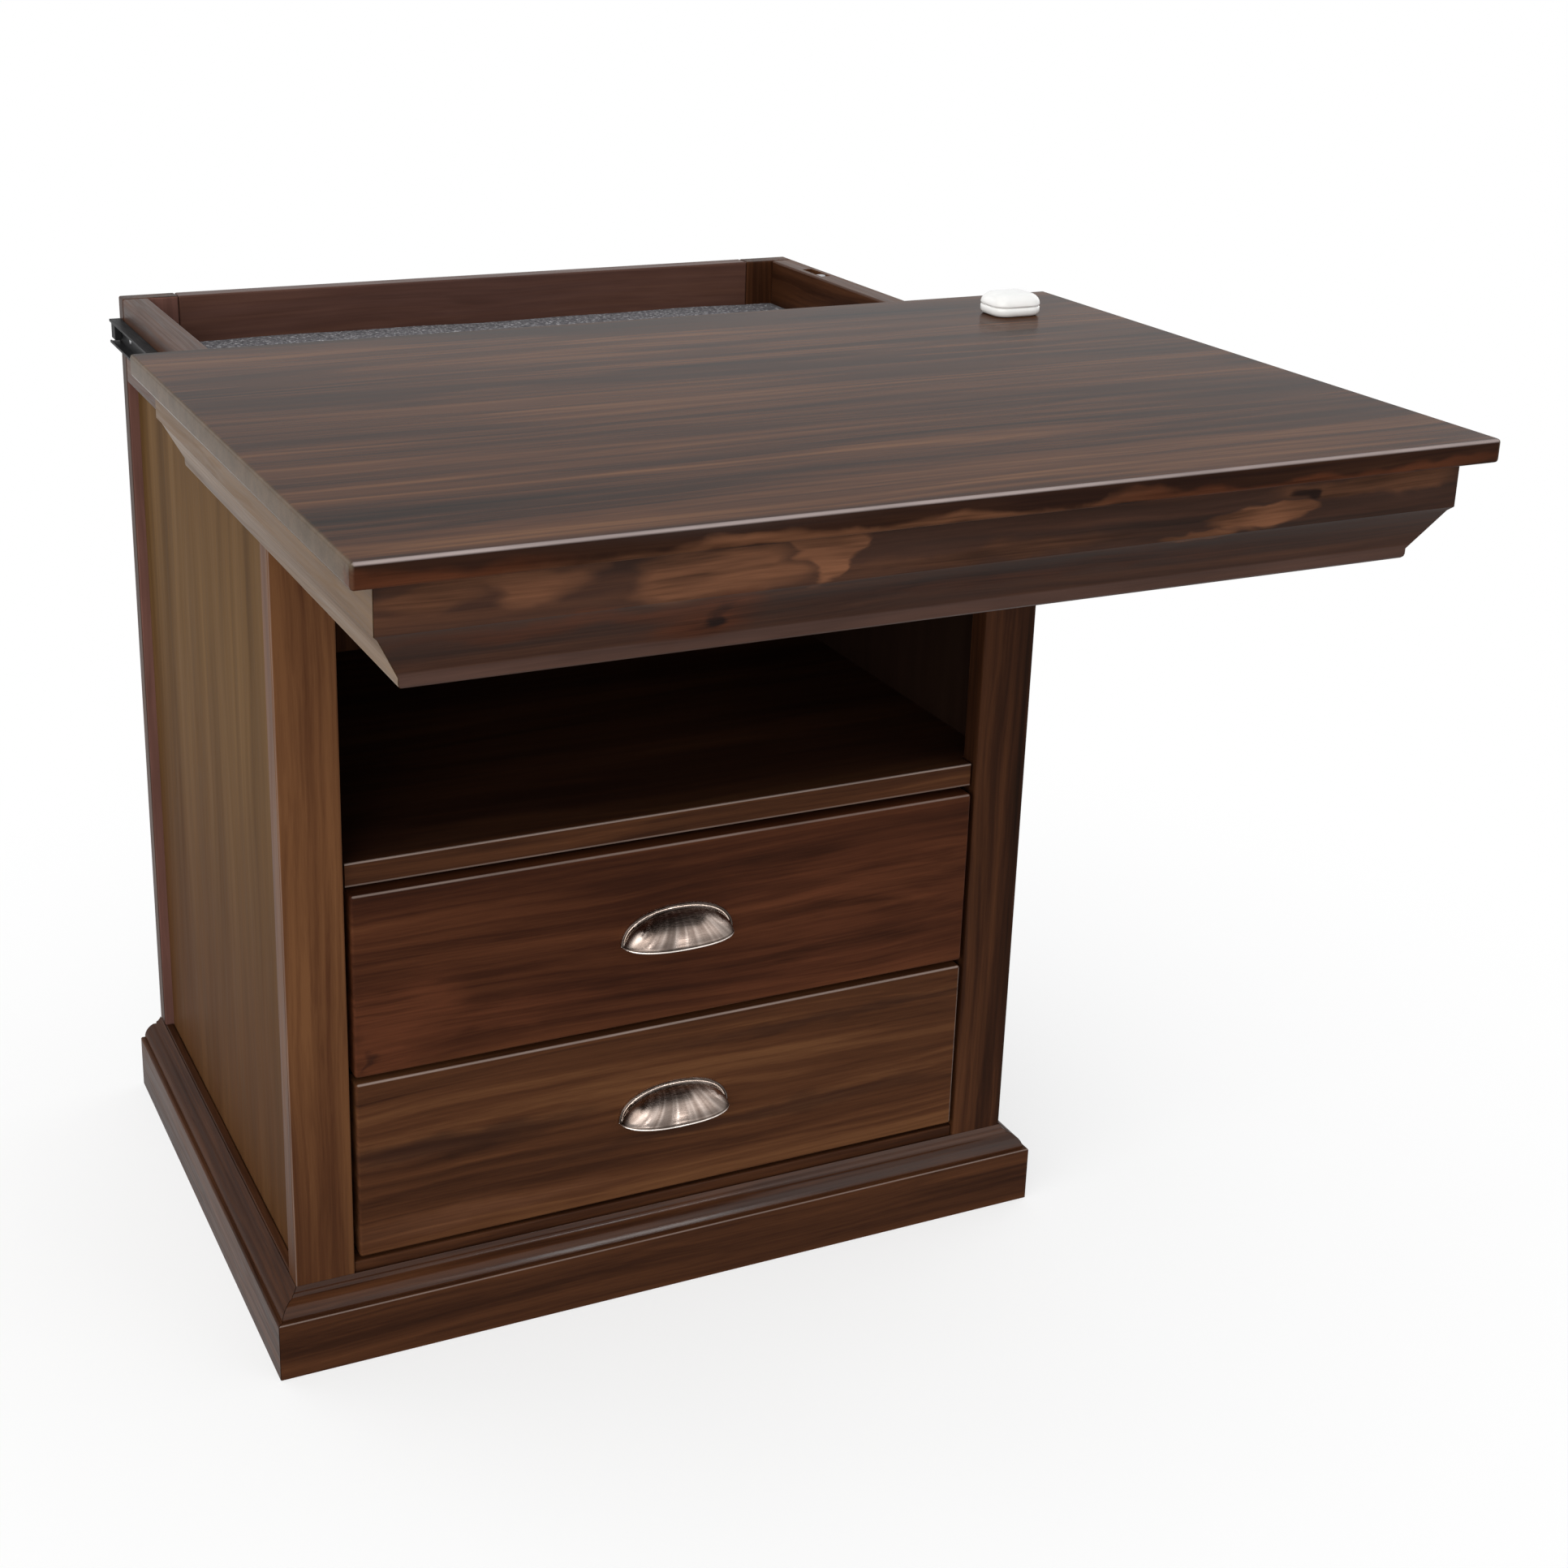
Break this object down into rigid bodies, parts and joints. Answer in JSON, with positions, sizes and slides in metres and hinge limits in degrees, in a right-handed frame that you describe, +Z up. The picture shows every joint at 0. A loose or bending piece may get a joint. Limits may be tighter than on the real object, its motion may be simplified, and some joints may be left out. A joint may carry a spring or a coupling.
{
  "type": "nightstand",
  "caption": "Nightstand with crown-moulded sliding top over a hidden lined compartment, an open cubby, inset drawers with cup pulls and a moulded plinth.",
  "frame": {"origin": "on the floor, under the middle of the outline of the object with its top slid open", "axes": "+Z up, -Y towards the front that the drawers open to, +X to the right as seen from the front"},
  "size_m": [0.643, 0.7534, 0.6751],
  "materials": {
    "stained_pine": "satin dark espresso stain over pine",
    "inner_pine": "matt reddish brown stain",
    "grey_felt": "speckled grey foam liner",
    "antique_nickel": "antiqued brushed nickel",
    "black_steel": "black coated steel",
    "bright_steel": "zinc-plated steel",
    "black_plastic": "black moulded plastic",
    "white_plastic": "glossy white plastic"
  },
  "bodies": {
    "cabinet": {"plinth_front": "stained_pine", "plinth_left": "stained_pine", "plinth_right": "stained_pine", "base_cap_front": "stained_pine", "base_cap_left": "stained_pine", "base_cap_right": "stained_pine", "front_left_stile": "stained_pine", "front_right_stile": "stained_pine", "back_left_post": "stained_pine", "back_right_post": "stained_pine", "left_side_panel": "stained_pine", "right_side_panel": "stained_pine", "left_bottom_rail": "stained_pine", "right_bottom_rail": "stained_pine", "front_top_rail": "stained_pine", "front_bottom_rail": "stained_pine", "back_bottom_rail": "stained_pine", "back_panel": "inner_pine", "bottom_panel": "inner_pine", "cubby_shelf": "stained_pine", "compartment_left_wall": "stained_pine", "compartment_right_wall": "stained_pine", "compartment_back_board": "inner_pine", "compartment_floor": "inner_pine", "compartment_liner": "grey_felt", "left_slide_channel": "black_steel", "right_slide_channel": "black_steel", "left_slide_stop": "black_plastic", "right_slide_stop": "black_plastic", "upper_drawer_left_runner": "inner_pine", "upper_drawer_right_runner": "inner_pine", "lower_drawer_left_runner": "inner_pine", "lower_drawer_right_runner": "inner_pine"},
    "lid": {"top_board": "stained_pine", "crown_front": "stained_pine", "crown_left": "stained_pine", "crown_right": "stained_pine", "lid_rail_front": "inner_pine", "lid_rail_left": "inner_pine", "lid_rail_right": "inner_pine", "left_slide_runner": "black_steel", "right_slide_runner": "black_steel", "latch_strike": "bright_steel", "key_base": "white_plastic", "key_cap": "white_plastic"},
    "left_cage": {"left_ball_cage": "bright_steel"},
    "right_cage": {"right_ball_cage": "bright_steel"},
    "latch": {"latch_rocker": "bright_steel"},
    "upper_drawer": {"upper_drawer_front": "stained_pine", "upper_drawer_left_side": "inner_pine", "upper_drawer_right_side": "inner_pine", "upper_drawer_back": "inner_pine", "upper_drawer_bottom": "inner_pine", "upper_drawer_pull": "antique_nickel"},
    "lower_drawer": {"lower_drawer_front": "stained_pine", "lower_drawer_left_side": "inner_pine", "lower_drawer_right_side": "inner_pine", "lower_drawer_back": "inner_pine", "lower_drawer_bottom": "inner_pine", "lower_drawer_pull": "antique_nickel"}
  },
  "joints": [
    {"name": "lid_slide", "type": "slide", "parent": "cabinet", "child": "lid", "axis": [0, 1, 0], "range_m": [0, 0.3]},
    {"name": "left_cage_slide", "type": "slide", "parent": "cabinet", "child": "left_cage", "axis": [0, 1, 0], "range_m": [0, 0.15]},
    {"name": "right_cage_slide", "type": "slide", "parent": "cabinet", "child": "right_cage", "axis": [0, 1, 0], "range_m": [0, 0.15]},
    {"name": "upper_drawer_slide", "type": "slide", "parent": "cabinet", "child": "upper_drawer", "axis": [0, -1, 0], "range_m": [0, 0.25]},
    {"name": "lower_drawer_slide", "type": "slide", "parent": "cabinet", "child": "lower_drawer", "axis": [0, -1, 0], "range_m": [0, 0.25]},
    {"name": "latch_pivot", "type": "hinge", "parent": "cabinet", "child": "latch", "pos_m": [0.259, 0.31075, 0.624], "axis": [-1, 0, 0], "range_deg": [0, 18]}
  ],
  "couplings": [
    {"joint": "left_cage_slide", "follows": "lid_slide", "ratio": 0.5},
    {"joint": "right_cage_slide", "follows": "lid_slide", "ratio": 0.5}
  ]
}
